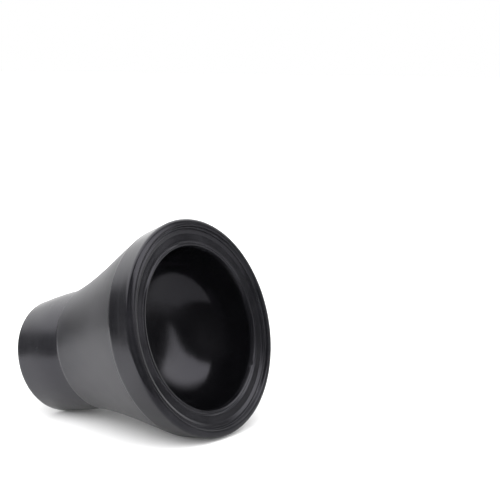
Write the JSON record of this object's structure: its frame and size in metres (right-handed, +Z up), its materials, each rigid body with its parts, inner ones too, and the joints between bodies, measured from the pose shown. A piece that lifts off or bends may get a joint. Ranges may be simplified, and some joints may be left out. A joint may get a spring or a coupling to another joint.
{
  "type": "golf ball pick-up cup",
  "caption": "Bell-shaped rubber suction cup with a short hollow neck that pushes over the butt of a putter grip and lifts a golf ball in its lipped mouth.",
  "frame": {"origin": "on the floor under the cup, at the centre of its bounding box, with the cup lying on its side", "axes": "+X is the level direction from the neck to the mouth, +Z is up, and the cup's axis lies in the XZ plane, rising towards the mouth"},
  "size_m": [0.0498, 0.045, 0.044],
  "materials": {
    "black_rubber": "satin black moulded rubber, glossier inside the bowl"
  },
  "bodies": {
    "root": {"suction_cup": "black_rubber"}
  },
  "joints": []
}
